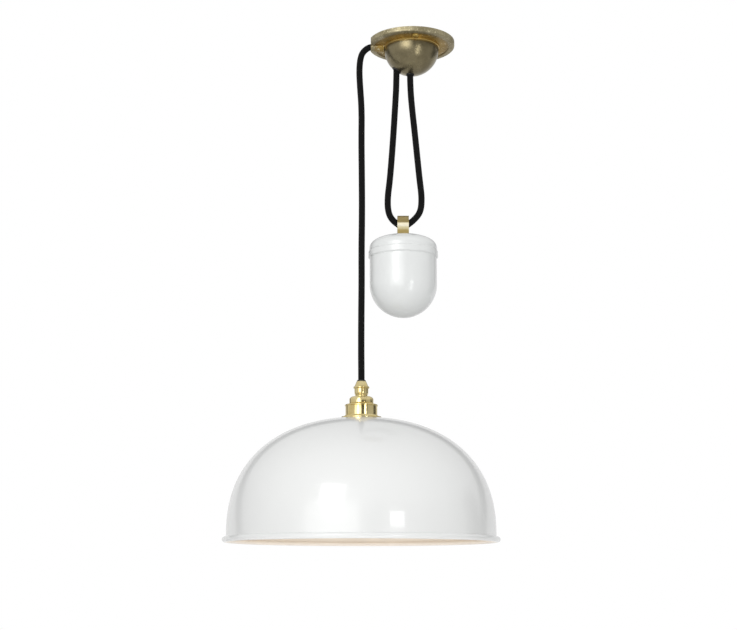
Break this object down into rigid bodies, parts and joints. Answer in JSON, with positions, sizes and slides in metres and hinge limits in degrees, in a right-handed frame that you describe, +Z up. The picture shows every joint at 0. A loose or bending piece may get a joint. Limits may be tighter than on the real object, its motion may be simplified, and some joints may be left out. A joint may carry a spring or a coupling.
{
  "type": "rise and fall pendant",
  "caption": "Pendant lamp on a braided flex that runs over a ceiling pulley and round a round-bottomed counterweight, so that its wide domed shade can be pulled down or pushed up.",
  "frame": {"origin": "centre of the ceiling plate, in the plane of the ceiling (top face of the mounting bar)", "axes": "+Z up into the ceiling, X in the plane that all of the flex hangs in with the counterweight towards +X of the lamp head, +Y away from the viewer"},
  "size_m": [0.35, 0.35, 0.6667],
  "materials": {
    "aged_brass": "aged, satin",
    "dark_brass": "lacquered, satin",
    "strap_brass": "brushed",
    "holder_brass": "polished",
    "turned_brass": "turned",
    "zinc_steel": "zinc plated",
    "white_enamel": "gloss enamel, cream inside the shade",
    "white_paint": "gloss paint",
    "grey_iron": "as cast",
    "black_rubber": "matt",
    "white_porcelain": "glazed",
    "block_plastic": "moulded",
    "core_brown": "insulation",
    "core_green": "insulation",
    "core_blue": "insulation",
    "black_braid": "braided"
  },
  "bodies": {
    "ceiling": {"ceiling_plate": "aged_brass", "mounting_bar": "zinc_steel", "plate_screws": "turned_brass", "pulley_bowl": "dark_brass", "bowl_screws": "zinc_steel", "left_grommet": "black_rubber", "right_grommet": "black_rubber", "outlet_bush": "black_rubber", "pulley_bracket": "zinc_steel", "bracket_screws": "zinc_steel", "pulley_axle": "zinc_steel", "cord_anchor": "zinc_steel", "anchor_screw": "zinc_steel", "terminal_block": "block_plastic", "terminal_screws": "turned_brass", "live_core": "core_brown", "earth_core": "core_green", "neutral_core": "core_blue", "anchored_flex": "black_braid", "pulley_flex": "black_braid", "left_fall": "black_braid", "right_fall": "black_braid", "drop_flex": "black_braid"},
    "ceiling_pulley": {"ceiling_pulley": "turned_brass"},
    "counterweight": {"weight_strap": "strap_brass", "roller_pin": "zinc_steel", "strap_hanger": "zinc_steel", "draw_rod": "zinc_steel", "rod_nuts": "zinc_steel", "weight_lid": "white_paint", "weight_body": "white_paint", "ballast": "grey_iron", "weight_bight": "black_braid"},
    "strap_roller": {"strap_roller": "turned_brass"},
    "shade": {"grip_grommet": "black_rubber", "grip_nut": "holder_brass", "grip_body": "holder_brass", "holder_cap": "holder_brass", "holder_skirt": "holder_brass", "shade_ring": "holder_brass", "retaining_nut": "turned_brass", "shade": "white_enamel", "rim_wire": "zinc_steel", "socket_core": "white_porcelain", "thread_shell": "turned_brass", "centre_contact": "turned_brass", "contact_posts": "turned_brass", "gripped_flex": "black_braid"}
  },
  "joints": [
    {"name": "shade_slide", "type": "slide", "parent": "ceiling", "child": "shade", "axis": [0, 0, 1], "range_m": [-0.24, 0.08], "deforming": ["drop_flex"]},
    {"name": "weight_slide", "type": "slide", "parent": "ceiling", "child": "counterweight", "axis": [0, 0, 1], "range_m": [-0.04, 0.12], "deforming": ["left_fall", "right_fall"]},
    {"name": "ceiling_pulley_spin", "type": "hinge", "parent": "ceiling", "child": "ceiling_pulley", "pos_m": [-0.0111, 0, -0.0151], "axis": [0, 1, 0], "range_deg": [-1530, 512]},
    {"name": "strap_roller_spin", "type": "hinge", "parent": "counterweight", "child": "strap_roller", "pos_m": [-0.0126, 0, -0.249], "axis": [0, 1, 0], "range_deg": [-945, 315]}
  ],
  "couplings": [
    {"joint": "weight_slide", "follows": "shade_slide", "ratio": -0.5},
    {"joint": "ceiling_pulley_spin", "follows": "shade_slide", "rad_per_m": 111.11},
    {"joint": "strap_roller_spin", "follows": "shade_slide", "rad_per_m": 67.57}
  ]
}
